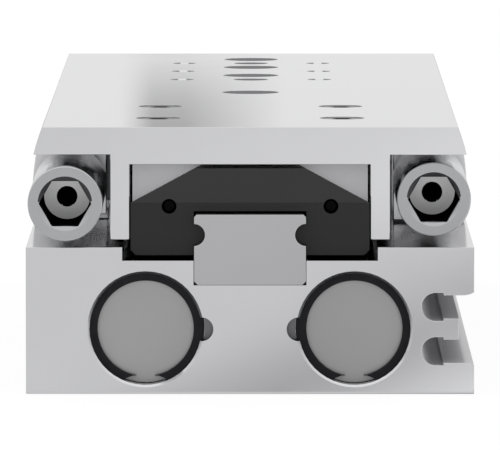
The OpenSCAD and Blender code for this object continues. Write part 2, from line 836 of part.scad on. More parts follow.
// Small dark screws with domed ends, sunk in the end cap
module end_cap_screws(side) {
    len = wiper_end - end_cap_start - end_cap_screw_sink;
    color("#101010") from_rear() translate([0, carriage_y, 0])
    rotate([0, 0, side > 0 ? 180 : 0]) for (sx = [-1, 1]) {
        p = [sx * end_cap_screw_x, -wiper_end + end_cap_screw_sink, ceiling_z - end_cap_screw_drop];
        intersection() {
            y_rod(end_cap_screw_d - 2 * seat_clear, p, len);
            translate(p + [0, end_cap_screw_d, 0]) sphere(r = end_cap_screw_d, $fn = 48);
        }
        y_rod(end_cap_screw_d - 2 * seat_clear, p + [0, end_cap_screw_d, 0],
            len - end_cap_screw_d);
        y_rod(end_cap_tap_d - 2 * seat_clear, p + [0, len / 2, 0], len / 2 + end_cap_thread);
    }
}

// Loaded and returning rows of balls on one side, with one ball in each turn
module balls(side) {
    x = rail_w / 2;
    color("#c9cbcd") from_rear() translate([0, carriage_y, track_z]) {
        for (i = [0 : ball_count - 1], dx = [0, ball_return])
            translate([side * (x + dx), (i - (ball_count - 1) / 2) * ball_pitch, 0])
                sphere(d = ball_d, $fn = 32);
        for (sy = [-1, 1])
            translate([side * (x + ball_return / 2), sy * (block_len + ball_return) / 2, 0])
                sphere(d = ball_d, $fn = 32);
    }
}

// ------------------------------------------------------------------ table

module table_outline() {
    intersection() {
        difference() {
            translate([-side_x, leg_z]) square([2 * side_x, top_z - leg_z]);
            translate([-channel_w / 2, leg_z - cut])
                square([channel_w, ceiling_z - leg_z + cut]);
            for (side = [-1, 1]) scale([side, 1]) translate([leg_x, leg_z - cut])
                square([side_x, flange_z - leg_z + cut]);
        }
        crown(table_crown_r);
    }
}

// Place of a foot screw of a holder, from the body's rear face; i is 0 or 1
function foot_screw_y(holder_y, i) =
    holder_y + holder_len + foot_screw_inset + i * foot_screw_pitch;

function home_stop_screw_y(i) = home_stop_y + home_stop_len / 2 + (i - 0.5) * stop_screw_pitch;

function grid_y(row) = yoke_y - grid_inset - row * grid_pitch;

module table() {
    color("#cfd0d2") from_rear() difference() {
        union() {
            bar(table_y, table_len) table_outline();
            translate([-channel_w / 2 - weld, yoke_y - end_wall_t, rail_top + end_wall_lift])
                cube([channel_w + 2 * weld, end_wall_t, ceiling_z - rail_top - end_wall_lift + weld]);
        }
        // Screws down into the carriage
        for (sx = [-1, 1], sy = [-1, 1]) {
            p = [sx, sy, 0] * carriage_screw_pitch / 2 + [0, carriage_y, 0];
            z_rod(m3_d + hole_clear, p + [0, 0, ceiling_z - cut], web_t + 2 * cut);
            z_rod(m3_head_d + cbore_clear, p + [0, 0, top_z - cbore_depth], cbore_depth + cut);
        }
        // Holes for the load
        for (row = locating_rows)
            z_rod(locating_bore_d, [0, grid_y(row), top_z - locating_bore_depth],
                locating_bore_depth + cut);
        for (row = dowel_rows)
            z_rod(dowel_bore_d, [0, grid_y(row), ceiling_z - cut], web_t + 2 * cut);
        for (row = thread_rows, sx = [-1, 1])
            z_rod(load_thread_d, [sx * grid_thread_x, grid_y(row), ceiling_z - cut],
                web_t + 2 * cut);
        // Threads for the yoke, the end damper's holder and the home stop
        for (i = [0 : 3])
            y_rod(m4_tap, [(i - 1.5) * yoke_screw_pitch, yoke_y - yoke_thread - drill_past, yoke_screw_z],
                yoke_thread + cut);
        for (i = [0, 1]) {
            z_rod(m3_tap, [damper_x, foot_screw_y(end_holder_y, i), flange_z - cut],
                flange_thread + cut);
            x_rod(m3_tap, [-leg_x - cut, home_stop_screw_y(i), stop_screw_z],
                leg_t + 2 * cut);
        }
    }
}

module carriage_screws() {
    grip = web_t - cbore_depth;
    color("#9c9da0") from_rear() for (sx = [-1, 1], sy = [-1, 1])
        translate([sx * carriage_screw_pitch / 2, carriage_y + sy * carriage_screw_pitch / 2,
            ceiling_z + grip + m3_d])
            m3_cap_screw(grip, carriage_thread);
}

module yoke() {
    color("#cfd0d2") from_rear() difference() {
        bar(yoke_y, yoke_t) rounded_plate(yoke_w, yoke_lift, yoke_top - yoke_lift, yoke_corner_r);
        for (side = [-1, 1]) yoke_screw_hole([side * bore_x, bore_z]);
        for (i = [0 : 3]) yoke_screw_hole([(i - 1.5) * yoke_screw_pitch, yoke_screw_z]);
        for (sx = [-1, 1], row = [0, 1])
            y_rod(m4_tap, [sx * yoke_thread_x / 2, yoke_y - cut, yoke_load_z + row * yoke_thread_z],
                yoke_t + 2 * cut);
    }
}

module yoke_screw_hole(p) {
    y_rod(m4_d + hole_clear, [p[0], yoke_y - cut, p[1]], yoke_t + 2 * cut);
    y_rod(m4_head_d + cbore_clear, [p[0], yoke_y + yoke_t - yoke_cbore_depth, p[1]],
        yoke_cbore_depth + cut);
}

module yoke_screws() {
    grip = yoke_t - yoke_cbore_depth;
    color("#8e9092") from_rear() for (i = [0 : 3])
        translate([(i - 1.5) * yoke_screw_pitch, yoke_y + grip + m4_d, yoke_screw_z])
            rotate([-90, 0, 0]) m4_cap_screw(grip, yoke_thread);
}

// ---------------------------------------------------------------- dampers

// A damper holder between the heights low and high; its foot lies at foot_z.
// side is -1 for the home damper on the left and 1 for the end damper.
module damper_holder(side, y, low, high, foot_z) {
    foot_side = foot_z > damper_z ? 1 : -1;
    csk_z = foot_side > 0 ? foot_z : foot_z + foot_t;
    color("#b9babc") from_rear() scale([side, 1, 1]) difference() {
        union() {
            bar(y, holder_len) intersection() {
                translate([holder_x, low]) square([side_x - holder_x, high - low]);
                translate([side_x - table_crown_r, crown_z]) circle(table_crown_r);
            }
            translate([holder_x, y + holder_len - cut, foot_z])
                cube([side_x - holder_x - foot_side_inset, foot_len + cut, foot_t]);
        }
        y_rod(barrel_bore_d, [damper_x, y - cut, damper_z], holder_len + 2 * cut);
        translate([holder_x - cut, y - cut, foot_z - (foot_side > 0 ? 0 : cut)])
            cube([holder_relief_w + cut, holder_len + 2 * cut, foot_t + cut]);
        for (i = [0, 1]) translate([damper_x, foot_screw_y(y, i), csk_z])
            rotate([foot_side > 0 ? 180 : 0, 0, 0]) {
                translate([0, 0, -foot_t - cut]) cylinder(d = m3_d + hole_clear, h = foot_t + 2 * cut);
                translate([0, 0, -foot_csk_depth])
                    cylinder(d1 = m3_d, d2 = foot_csk_d, h = foot_csk_depth);
            }
    }
}

// Countersunk screw through the foot of a holder
module foot_screw(thread) {
    flat_screw(m3_d - foot_csk_clear, m3_tap, foot_csk_d - 2 * foot_csk_clear,
        foot_csk_depth - foot_csk_clear, foot_t, thread);
}

module home_damper_holder() {
    damper_holder(-1, home_holder_y, body_h, flange_z - free_gap, body_h);
}

module end_damper_holder() {
    damper_holder(1, end_holder_y, body_h + free_gap, flange_z, flange_z - foot_t);
}

module home_holder_screws() {
    color("#8e9092") from_rear() for (i = [0, 1])
        translate([-damper_x, foot_screw_y(home_holder_y, i), body_h + foot_t])
            foot_screw(foot_thread);
}

module end_holder_screws() {
    color("#8e9092") from_rear() for (i = [0, 1])
        translate([damper_x, foot_screw_y(end_holder_y, i), flange_z - foot_t])
            rotate([180, 0, 0]) foot_screw(flange_thread - drill_past);
}

// Sleeve that is screwed on the barrel and jams against its holder
module locking_sleeve(side, y) {
    x = side * damper_x;
    head = y - sleeve_len;
    color("#b4b6b8") from_rear() difference() {
        union() {
            y_rod(sleeve_d, [x, head + edge_break, damper_z], sleeve_len - edge_break);
            y_rod(sleeve_d - 2 * edge_break, [x, head, damper_z], edge_break, sleeve_d);
        }
        translate([x, head, damper_z]) rotate([90, 0, 0])
            hex_socket(sleeve_key, sleeve_key_depth + cut);
        y_rod(sleeve_mouth_d, [x, head, damper_z], sleeve_mouth_depth, sleeve_mouth_end_d);
        y_rod(barrel_bore_d, [x, head + sleeve_key_depth, damper_z], sleeve_len);
    }
}

module damper_barrel(side, front, rear) {
    x = side * damper_x;
    dome_r = (barrel_nose_d * barrel_nose_d / 4 + barrel_dome * barrel_dome) / (2 * barrel_dome);
    color("#c2c3c5") from_rear() difference() {
        union() {
            y_rod(barrel_d, [x, rear + barrel_nose_len, damper_z], front - rear - barrel_nose_len);
            intersection() {
                y_rod(barrel_nose_d, [x, rear - cut, damper_z], barrel_nose_len + 2 * cut);
                translate([x, rear + dome_r, damper_z]) sphere(dome_r);
            }
        }
        y_rod(barrel_key_ring_d, [x, rear - cut, damper_z], cut + barrel_key_ring_depth);
        translate([x, rear, damper_z]) rotate([90, 0, 0]) hex_socket(barrel_key, barrel_key_depth);
        y_rod(buffer_recess_d, [x, front - buffer_recess_depth, damper_z],
            buffer_recess_depth + cut);
        y_rod(plunger_d + 2 * run_clear, [x, front - plunger_bore_depth, damper_z],
            plunger_bore_depth);
    }
}

module plunger(side, front) {
    buffer_y = front + buffer_proud - buffer_len;
    color("#d0d2d4") from_rear()
        y_rod(plunger_d, [side * damper_x, front - plunger_back, damper_z],
            buffer_y + plunger_grip - front + plunger_back);
}

module buffer(side, front) {
    x = side * damper_x;
    buffer_y = front + buffer_proud - buffer_len;
    color("#2c2c2e") from_rear() difference() {
        union() {
            y_rod(buffer_d, [x, buffer_y, damper_z], buffer_len - edge_break);
            y_rod(buffer_d, [x, buffer_y + buffer_len - edge_break, damper_z], edge_break,
                buffer_d - 2 * edge_break);
        }
        y_rod(plunger_d + 2 * seat_clear, [x, buffer_y - cut, damper_z],
            plunger_grip + cut + seat_clear);
    }
}

module home_locking_sleeve() { locking_sleeve(-1, home_holder_y); }

module end_locking_sleeve() { locking_sleeve(1, end_holder_y); }

module home_damper_barrel() {
    damper_barrel(-1, home_barrel_y, home_holder_y - sleeve_len + barrel_depth);
}

module end_damper_barrel() {
    damper_barrel(1, end_barrel_y, end_holder_y - sleeve_len + barrel_depth);
}

// Stop under the left flange that meets the home damper
module home_stop() {
    low = body_h + foot_t + stop_lift;
    color("#8c8e92") from_rear() scale([-1, 1, 1]) difference() {
        translate([leg_x, home_stop_y, low])
            cube([home_stop_x - leg_x, home_stop_len, flange_z - low]);
        for (i = [0, 1]) {
            x_rod(m3_d + hole_clear, [leg_x - cut, home_stop_screw_y(i), stop_screw_z],
                home_stop_x - leg_x + 2 * cut);
            x_rod(m3_head_d + cbore_clear, [home_stop_x - stop_cbore_depth, home_stop_screw_y(i),
                stop_screw_z], stop_cbore_depth + cut);
        }
    }
}

module home_stop_screws() {
    grip = home_stop_x - leg_x - stop_cbore_depth;
    color("#5c5d60") from_rear() for (i = [0, 1])
        translate([-leg_x - grip - m3_d, home_stop_screw_y(i), stop_screw_z])
            rotate([0, -90, 0]) m3_cap_screw(grip, leg_t - stop_thread_short);
}

// Stop on the right shoulder that meets the end damper
module end_stop() {
    inner = holder_x + end_stop_side;
    outer = side_x - end_stop_side;
    high = end_stop_top;
    mid = [damper_x, end_stop_y + end_stop_len / 2, 0];
    color("#8c8e92") from_rear() difference() {
        translate([inner, end_stop_y, body_h]) cube([outer - inner, end_stop_len, high - body_h]);
        z_rod(m4_d + hole_clear, mid + [0, 0, body_h - cut], high - body_h + 2 * cut);
        z_rod(m4_head_d + cbore_clear, mid + [0, 0, high - end_stop_cbore_depth],
            end_stop_cbore_depth + cut);
    }
}

module end_stop_screw() {
    grip = end_stop_top - body_h - end_stop_cbore_depth;
    color("#5c5d60") from_rear()
        translate([damper_x, end_stop_y + end_stop_len / 2, body_h + grip + m4_d])
            m4_cap_screw(grip, end_stop_thread - drill_past);
}

body();
rail();
rail_screws();
rear_cap(-1);  // rear_cap_left
rear_cap(1);  // rear_cap_right
rear_cap_o_rings();
retaining_ring(-1, ring_inset);  // rear_retaining_ring_left
retaining_ring(1, ring_inset);  // rear_retaining_ring_right
rod_gland(-1);  // rod_gland_left
rod_gland(1);  // rod_gland_right
gland_o_rings();
rod_seals();
retaining_ring(-1, body_len - cap_y);  // front_retaining_ring_left
retaining_ring(1, body_len - cap_y);  // front_retaining_ring_right
piston(-1);  // piston_left
piston(1);  // piston_right
piston_seals();
piston_wear_rings();
piston_magnets();
piston_rod(-1);  // piston_rod_left
piston_rod(1);  // piston_rod_right
rod_screws();
table();
carriage_block();
carriage_screws();
end_cap(-1);  // rear_end_cap
end_cap(1);  // front_end_cap
wiper(-1);  // rear_wiper
wiper(1);  // front_wiper
end_cap_screws(-1);  // rear_end_cap_screws
end_cap_screws(1);  // front_end_cap_screws
balls(-1);  // balls_left
balls(1);  // balls_right
yoke();
yoke_screws();
home_damper_holder();
home_holder_screws();
home_locking_sleeve();
home_damper_barrel();
plunger(-1, home_barrel_y);  // home_plunger
buffer(-1, home_barrel_y);  // home_buffer
home_stop();
home_stop_screws();
end_damper_holder();
end_holder_screws();
end_locking_sleeve();
end_damper_barrel();
plunger(1, end_barrel_y);  // end_plunger
buffer(1, end_barrel_y);  // end_buffer
end_stop();
end_stop_screw();
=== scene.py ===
from math import pi, radians

import bmesh
import bpy
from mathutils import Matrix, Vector


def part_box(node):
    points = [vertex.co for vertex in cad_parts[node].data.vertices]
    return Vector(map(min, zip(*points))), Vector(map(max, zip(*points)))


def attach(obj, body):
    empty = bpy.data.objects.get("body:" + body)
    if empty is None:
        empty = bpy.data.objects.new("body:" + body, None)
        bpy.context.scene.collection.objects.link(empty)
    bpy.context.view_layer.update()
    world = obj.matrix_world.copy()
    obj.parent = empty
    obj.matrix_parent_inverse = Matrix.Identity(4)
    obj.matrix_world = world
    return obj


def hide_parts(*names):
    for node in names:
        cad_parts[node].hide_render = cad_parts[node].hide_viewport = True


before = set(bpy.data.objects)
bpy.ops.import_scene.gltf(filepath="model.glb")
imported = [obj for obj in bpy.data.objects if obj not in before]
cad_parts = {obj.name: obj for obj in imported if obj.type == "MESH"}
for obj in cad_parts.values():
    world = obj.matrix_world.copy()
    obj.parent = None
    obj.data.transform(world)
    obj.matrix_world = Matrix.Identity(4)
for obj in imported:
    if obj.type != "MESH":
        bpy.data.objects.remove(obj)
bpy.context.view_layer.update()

# ---------------------------------------------------------------- cylinder body
# The twin-bore cylinder body is an extruded aluminium bar, sawn and face milled
# at its ends, bored, tapped and then clear anodised. Everything bolts to it.

MM = 0.001
touching = 0.01 * MM      # what comes this near to a plane lies on it
fine_break = 0.08 * MM    # what a deburring stone takes off a sharp edge
widest_round = 0.4 * MM   # a wider break is a plain countersink


def tint(code, shade=1.0):
    """An sRGB hex colour as a socket's linear values, darker or paler by a factor."""
    parts = [int(code[i:i + 2], 16) / 255 for i in (1, 3, 5)]
    linear = [p / 12.92 if p <= 0.04045 else ((p + 0.055) / 1.055) ** 2.4 for p in parts]
    return [min(1.0, part * shade) for part in linear] + [1.0]


def add(tree, kind, inputs=None, **settings):
    """Adds one node; each input gets a value, a socket or a node's first output."""
    node = tree.nodes.new(kind)
    for name, value in settings.items():
        setattr(node, name, value)
    for name, value in (inputs or {}).items():
        if isinstance(value, bpy.types.Node):
            value = value.outputs[0]
        if isinstance(value, bpy.types.NodeSocket):
            tree.links.new(value, node.inputs[name])
        else:
            node.inputs[name].default_value = value
    return node


def blank(name):
    """A new material and its empty node tree."""
    made = bpy.data.materials.new(name)
    made.use_nodes = True
    made.node_tree.nodes.clear()
    return made, made.node_tree


def surfaced(made, code, shades, mottle, gloss, relief=None, metallic=1.0, specular=0.5):
    """Ends a material: a colour that a pattern mottles, a gloss and a fine relief."""
    tree = made.node_tree
    tone = add(tree, "ShaderNodeMix", {
        0: mottle, 6: tint(code, shades[0]), 7: tint(code, shades[1])}, data_type="RGBA")
    shader = add(tree, "ShaderNodeBsdfPrincipled", {
        "Base Color": tone.outputs[2], "Metallic": metallic, "Roughness": gloss,
        "Specular IOR Level": specular})
    if relief:
        tree.links.new(relief.outputs["Normal"], shader.inputs["Normal"])
    add(tree, "ShaderNodeOutputMaterial", {"Surface": shader})
    return made


def grained(name, code, rough, spread, pitch, along, depth, metallic=1.0):
    """A metal whose last tool left fine lines that run along one axis.

    Real lines lie 0.01 to 0.05 mm apart, too fine to show, so their pitch is drawn
    coarser. Each is 50 times as long as it is wide. Under them lie soft patches of
    14 mm, where the bath or the coolant took a little more.
    """
    made, tree = blank(name)
    place = add(tree, "ShaderNodeTexCoord").outputs["Object"]
    scale = [1 / pitch] * 3
    scale["xyz".index(along)] = 0.02 / pitch
    stretched = add(tree, "ShaderNodeMapping", {"Vector": place, "Scale": scale})
    lines = add(tree, "ShaderNodeTexNoise", {"Vector": stretched, "Scale": 1.0, "Detail": 2.0})
    cloud = add(tree, "ShaderNodeTexNoise", {
        "Vector": place, "Scale": 1 / (14.3 * MM), "Detail": 2.0})
    both = add(tree, "ShaderNodeMath", {0: lines, 1: cloud}, operation="ADD")
    gloss = add(tree, "ShaderNodeMapRange", {
        "Value": both, "From Min": 0.6, "From Max": 1.4,
        "To Min": rough - spread, "To Max": rough + spread})
    bump = add(tree, "ShaderNodeBump", {"Strength": 0.2, "Distance": depth, "Height": lines})
    return surfaced(made, code, (0.955, 1.045), cloud, gloss, bump, metallic)


def machined(name, node, broken, body, finishes, which=None, draft=None, joined=True):
    """A copy of a CAD piece with its sharp edges broken, shown in the piece's place.

    broken is the width of the breaks, or a function that gives it for each sharp edge.
    which picks a finish for each face from the face's middle and direction. draft
    reshapes the copy first, and joined makes one face of each flat side.
    """
    welded = 0.002 * MM       # corners this near become one
    level = radians(0.6)      # faces that meet at less are one flat side
    facet = radians(0.7)      # faces that meet at more, up to a crease, are a curve
    crease = radians(30)      # shading breaks here
    sharp = radians(35)       # edges that turn more get a break
    shape = bmesh.new()
    shape.from_mesh(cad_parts[node].data)
    bmesh.ops.remove_doubles(shape, verts=shape.verts, dist=welded)
    if broken and joined:
        bmesh.ops.dissolve_limit(shape, angle_limit=level, verts=shape.verts,
                                 edges=shape.edges)
    # Up to the end the material index marks flat sides 0, curved ones 1 and breaks 2.
    for face in shape.faces:
        turns = [edge.calc_face_angle() for edge in face.edges if edge.is_manifold]
        face.material_index = int(any(facet < turn < crease for turn in turns))
    if draft:
        draft(shape)
    breaks = {}
    for edge in shape.edges:
        if edge.is_manifold and edge.calc_face_angle() > sharp:
            width = broken(edge) if callable(broken) else broken
            breaks.setdefault(width, []).append(edge)
    for width in sorted(set(breaks) - {0}):
        bmesh.ops.bevel(shape, geom=breaks[width], offset=width, offset_type="OFFSET",
                        segments=1 if width > widest_round else 2, profile=0.5,
                        affect="EDGES", clamp_overlap=False, material=2)
    bmesh.ops.triangulate(shape, faces=shape.faces)
    for face in shape.faces:
        face.smooth = face.material_index > 0
        face.material_index = which(face.calc_center_median(), face.normal) if which else 0
    for edge in shape.edges:
        edge.smooth = edge.is_manifold and edge.calc_face_angle() < crease
    mesh = bpy.data.meshes.new(name)
    shape.to_mesh(mesh)
    shape.free()
    for finish in finishes:
        mesh.materials.append(finish)
    piece = bpy.data.objects.new(name, mesh)
    bpy.context.scene.collection.objects.link(piece)
    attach(piece, body)
    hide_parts(node)
    return piece


# The die leaves fine lines along the bar, and anodising makes of them a satin sheen.
anodised_extrusion = grained("clear anodised extruded aluminium", "#C3C3C5",
                             0.13, 0.02, 0.10 * MM, "y", 0.0004 * MM)
# A small end mill cuts the key pockets rougher, and their dark grey is painted shade in the
# pockets.
painted_pocket_shade = grained("milled aluminium with painted pocket shade", "#6E6E70", 0.3, 0.04,
                        0.15 * MM, "z", 0.001 * MM)
# The slots keep the die's hazy skin, which mirrors little; their pale grey, darker than the
# bar's, is painted shade.
slot_wall_painted_shade = grained("as drawn slot wall with painted shade", "#B4B4B6", 0.3, 0.02,
                     0.10 * MM, "y", 0.0001 * MM, 0.3)
bar_low, bar_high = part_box("body")
# The sensor slots, where shade is painted: their innermost wall, almost their mouths, and their
# heights.
slots_x, slots_rim_x, slots_z = 22 * MM, 29.9 * MM, (3 * MM, 15 * MM)
cap_low, cap_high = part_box("rear_cap_right")
bore_x, bore_z = (cap_low[0] + cap_high[0]) / 2, (cap_low[2] + cap_high[2]) / 2
# The key pocket beside each rear bore, where shade is painted: its place, half its size, and
# its depths.
key_x, key_half_x, key_half_z = bore_x - 8 * MM, 1.8 * MM, 1.7 * MM
key_from, key_to = 0.4 * MM, 3.5 * MM


def lies_on(edge, axis, level):
    """Whether an edge lies on a plane that is square to an axis."""
    return all(abs(end.co[axis] - level) < touching for end in edge.verts)


def bar_break(edge):
    """Breaks only the bar's outer edges and the rear ends of its sensor slots."""
    slot_end = lies_on(edge, 1, bar_low[1]) and all(end.co.x > slots_x for end in edge.verts)
    met = [k for k in range(3) for level in (bar_low[k], bar_high[k])
           if lies_on(edge, k, level)]
    return fine_break if slot_end or len(met) > 1 else 0


def bar_part(place, facing):
    """1 in the key pockets beside the rear bores, 2 in the sensor slots, both painted shade;
    else 0.
    """
    beside = abs(abs(place.x) - key_x) < key_half_x and abs(place.z - bore_z) < key_half_z
    if beside and key_from < place.y - bar_low[1] < key_to:
        return 1
    in_slot = slots_x < place.x < slots_rim_x and slots_z[0] < place.z < slots_z[1]
    return 2 if in_slot and abs(facing.y) < 0.7 else 0


# The key pockets and the sensor slots get painted shade.
machined("extruded_body", "body", bar_break, "body",
         (anodised_extrusion, painted_pocket_shade, slot_wall_painted_shade), bar_part, joined=False)

# ---------------------------------------------------------------- guide rail
# The guide rail is case-hardened bearing steel, drawn to its section and ground
# on its flanks. It lies in the body's groove and four screws hold it down.


def dress(material, *names):
    """Gives CAD pieces their material."""
    for name in names:
        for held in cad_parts[name].material_slots:
            held.material = material


def plated(name, code, rough):
    """A small pressed or plated part: nearly smooth, its film in clouds of 1.1 mm."""
    made, tree = blank(name)
    place = add(tree, "ShaderNodeTexCoord").outputs["Object"]
    cloud = add(tree, "ShaderNodeTexNoise", {
        "Vector": place, "Scale": 1 / (1.11 * MM), "Detail": 3.0})
    gloss = add(tree, "ShaderNodeMapRange", {
        "Value": cloud, "From Min": 0.3, "From Max": 0.7,
        "To Min": rough * 0.8, "To Max": rough * 1.25})
    return surfaced(made, code, (0.93, 1.0), cloud, gloss)


def new_tree(name, inputs, result):
    """A geometry tree with named inputs of given kinds and one result."""
    tree = bpy.data.node_groups.new(name, "GeometryNodeTree")
    tree.is_modifier = True
    for label, kind in inputs.items():
        tree.interface.new_socket(label, in_out="INPUT", socket_type="NodeSocket" + kind)
    tree.interface.new_socket(result, in_out="OUTPUT", socket_type="NodeSocketGeometry")
    return tree, add(tree, "NodeGroupInput").outputs


def screw_tree():
    """Puts a socket screw at every point, its head's top face on the point."""
    sizes = ("Head radius", "Seat radius", "Head height", "Edge", "Knurl", "Key",
             "Key depth", "Shank radius", "Shank length", "Pitch")
    tree, given = new_tree("socket screws", {
        "Places": "Geometry", **dict.fromkeys(sizes, "Float"), "Turn": "Vector",
        "Finish": "Material"}, "Screws")
    maths = "ShaderNodeMath"
    # The head: three rings up the screw's axis, swept with a knurled outline.
    index = add(tree, "GeometryNodeInputIndex")
    low = add(tree, maths, {0: given["Head height"], 1: -1.0}, operation="MULTIPLY")
    shoulder = add(tree, maths, {0: given["Edge"], 1: -1.0}, operation="MULTIPLY")
    rounded = add(tree, maths, {0: given["Head radius"], 1: given["Edge"]},
                  operation="SUBTRACT")
    level = add(tree, "GeometryNodeIndexSwitch", {"Index": index, "0": low, "1": shoulder},
                data_type="FLOAT")
    level.index_switch_items.new()
    level.inputs["2"].default_value = 0.0
    reach = add(tree, "GeometryNodeIndexSwitch", {
        "Index": index, "0": given["Seat radius"], "1": given["Head radius"]},
        data_type="FLOAT")
    reach.index_switch_items.new()
    tree.links.new(rounded.outputs["Value"], reach.inputs["2"])
    spine = add(tree, "GeometryNodeMeshLine", {"Count": 3, "Offset": (0, 0, MM)})
    curve = add(tree, "GeometryNodeMeshToCurve", {"Mesh": spine})
    raised = add(tree, "ShaderNodeCombineXYZ", {"Z": level})
    axis = add(tree, "GeometryNodeSetPosition", {"Geometry": curve, "Position": raised})
    knurls = add(tree, "GeometryNodeCurveStar", {
        "Points": 28, "Inner Radius": given["Knurl"], "Outer Radius": 1.0, "Twist": 0.0})
    head = add(tree, "GeometryNodeCurveToMesh", {
        "Curve": axis, "Profile Curve": knurls, "Scale": reach, "Fill Caps": True})
    # The hexagon: twice as deep as the key goes, because half of it stands in the air.
    corner = add(tree, maths, {0: given["Key"], 1: 1 / 3 ** 0.5}, operation="MULTIPLY")
    twice = add(tree, maths, {0: given["Key depth"], 1: 2.0}, operation="MULTIPLY")
    hexagon = add(tree, "GeometryNodeMeshCylinder", {
        "Vertices": 6, "Radius": corner, "Depth": twice})
    cut = add(tree, "GeometryNodeMeshBoolean", {"Mesh 1": head, "Mesh 2": hexagon},
              operation="DIFFERENCE", solver="EXACT")
    # The shank: four rings to a turn, pulled in where the groove winds round. It
    # starts a little inside the head, and the groove is 0.55 of the pitch deep.
    tip = add(tree, maths, {0: low, 1: given["Shank length"]}, operation="SUBTRACT")
    root = add(tree, maths, {0: low, 1: 0.1 * MM}, operation="ADD")
    stem = add(tree, "GeometryNodeCurvePrimitiveLine", {
        "Start": add(tree, "ShaderNodeCombineXYZ", {"Z": tip}),
        "End": add(tree, "ShaderNodeCombineXYZ", {"Z": root})})
    turns = add(tree, maths, {0: given["Shank length"], 1: given["Pitch"]},
                operation="DIVIDE")
    count = add(tree, maths, {0: turns, 1: 4.0}, operation="MULTIPLY")
    rings = add(tree, "GeometryNodeResampleCurve", {"Curve": stem, "Count": count})
    ring = add(tree, "GeometryNodeCurvePrimitiveCircle", {"Resolution": 24, "Radius": 1.0})
    shank = add(tree, "GeometryNodeCurveToMesh", {
        "Curve": rings, "Profile Curve": ring, "Scale": given["Shank radius"],
        "Fill Caps": True})
    position = add(tree, "GeometryNodeInputPosition")
    here = add(tree, "ShaderNodeSeparateXYZ", {"Vector": position}).outputs
    angle = add(tree, maths, {0: here["Y"], 1: here["X"]}, operation="ARCTAN2")
    wound = add(tree, maths, {0: angle, 1: 0.5 / pi}, operation="MULTIPLY")
    risen = add(tree, maths, {0: here["Z"], 1: given["Pitch"]}, operation="DIVIDE")
    along = add(tree, maths, {0: risen, 1: wound}, operation="SUBTRACT")
    groove = add(tree, maths, {0: along, 1: 0.5}, operation="PINGPONG")
    sunk = add(tree, maths, {0: groove, 1: given["Pitch"]}, operation="MULTIPLY")
    depth = add(tree, maths, {0: sunk, 1: -1.1}, operation="MULTIPLY")
    share = add(tree, maths, {0: depth, 1: given["Shank radius"]}, operation="DIVIDE")
    inward = add(tree, maths, {0: 1.0, 1: share}, operation="ADD")
    thread = add(tree, "ShaderNodeCombineXYZ", {
        "X": add(tree, maths, {0: here["X"], 1: inward}, operation="MULTIPLY"),
        "Y": add(tree, maths, {0: here["Y"], 1: inward}, operation="MULTIPLY"),
        "Z": here["Z"]})
    threaded = add(tree, "GeometryNodeSetPosition", {"Geometry": shank, "Position": thread})
    whole = add(tree, "GeometryNodeJoinGeometry", {"Geometry": cut})
    tree.links.new(threaded.outputs["Geometry"], whole.inputs["Geometry"])
    screws = add(tree, "GeometryNodeInstanceOnPoints", {
        "Points": given["Places"], "Instance": whole, "Rotation": given["Turn"]})
    real = add(tree, "GeometryNodeRealizeInstances", {"Geometry": screws})
    coated = add(tree, "GeometryNodeSetMaterial", {
        "Geometry": real, "Material": given["Finish"]})
    add(tree, "NodeGroupOutput", {"Screws": coated})
    return tree


def grown(name, tree, points, values, body, slot, *replaced, smooth=30):
    """A tree's result on some points as a plain mesh that rides on one body."""
    mesh = bpy.data.meshes.new(name)
    mesh.from_pydata(points, [], [])
    piece = bpy.data.objects.new(name, mesh)
    bpy.context.scene.collection.objects.link(piece)
    grower = piece.modifiers.new("grown", "NODES")
    grower.node_group = tree
    for item in tree.interface.items_tree:
        if item.in_out == "INPUT" and item.name in values:
            grower[item.identifier] = values[item.name]
    ready = piece.evaluated_get(bpy.context.evaluated_depsgraph_get())
    result = bpy.data.meshes.new_from_object(ready)
    piece.modifiers.remove(grower)
    piece.data = result
    for face in result.polygons:
        face.use_smooth = True
    result.set_sharp_from_angle(angle=radians(smooth))
    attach(piece, body)
    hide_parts(*replaced)
    return piece


socket_screws = screw_tree()
facing_turns = {"+z": (0, 0, 0), "-z": (pi, 0, 0), "+y": (-pi / 2, 0, 0),
                "-y": (pi / 2, 0, 0), "-x": (0, -pi / 2, 0)}


def screwed(name, node, counts, way, head, height, key, shank, pitch, finish, body, slot,
            seat=None, knurl=0.965):
    """Screws in a grid, counts along X, Y and Z, heads facing the way given.

    The heads' radius and height, the key's width across flats and the shank's radius
    and pitch are given. The grid and the screws' length come from the CAD screws' box.
    A head's top edge is broken by 0.08 of its radius, and the key goes half way down.
    """
    low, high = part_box(node)
    across = "xyz".index(way[1])
    rows = []
    for k in range(3):
        if k == across:
            rows.append([high[k] if way[0] == "+" else low[k]])
        elif counts[k] == 1:
            rows.append([(low[k] + high[k]) / 2])
        else:
            gap = (high[k] - low[k] - 2 * head) / (counts[k] - 1)
            rows.append([low[k] + head + i * gap for i in range(counts[k])])
    places = [(x, y, z) for x in rows[0] for y in rows[1] for z in rows[2]]
    values = {
        "Head radius": head, "Seat radius": seat or head, "Head height": height,
        "Edge": 0.08 * head, "Knurl": knurl, "Key": key, "Key depth": height * 0.5,
        "Shank radius": shank, "Shank length": high[across] - low[across] - height,
        "Pitch": pitch, "Turn": facing_turns[way], "Finish": finish}
    return grown(name, socket_screws, places, values, body, slot, node)


# Grinding along the rail leaves a straight fine grain and an even, cool grey.
ground_rail_steel = grained("ground rail steel", "#ABABAD", 0.24, 0.03,
                            0.06 * MM, "y", 0.001 * MM)
machined("ground_rail", "rail", 0.1 * MM, "body", (ground_rail_steel,))
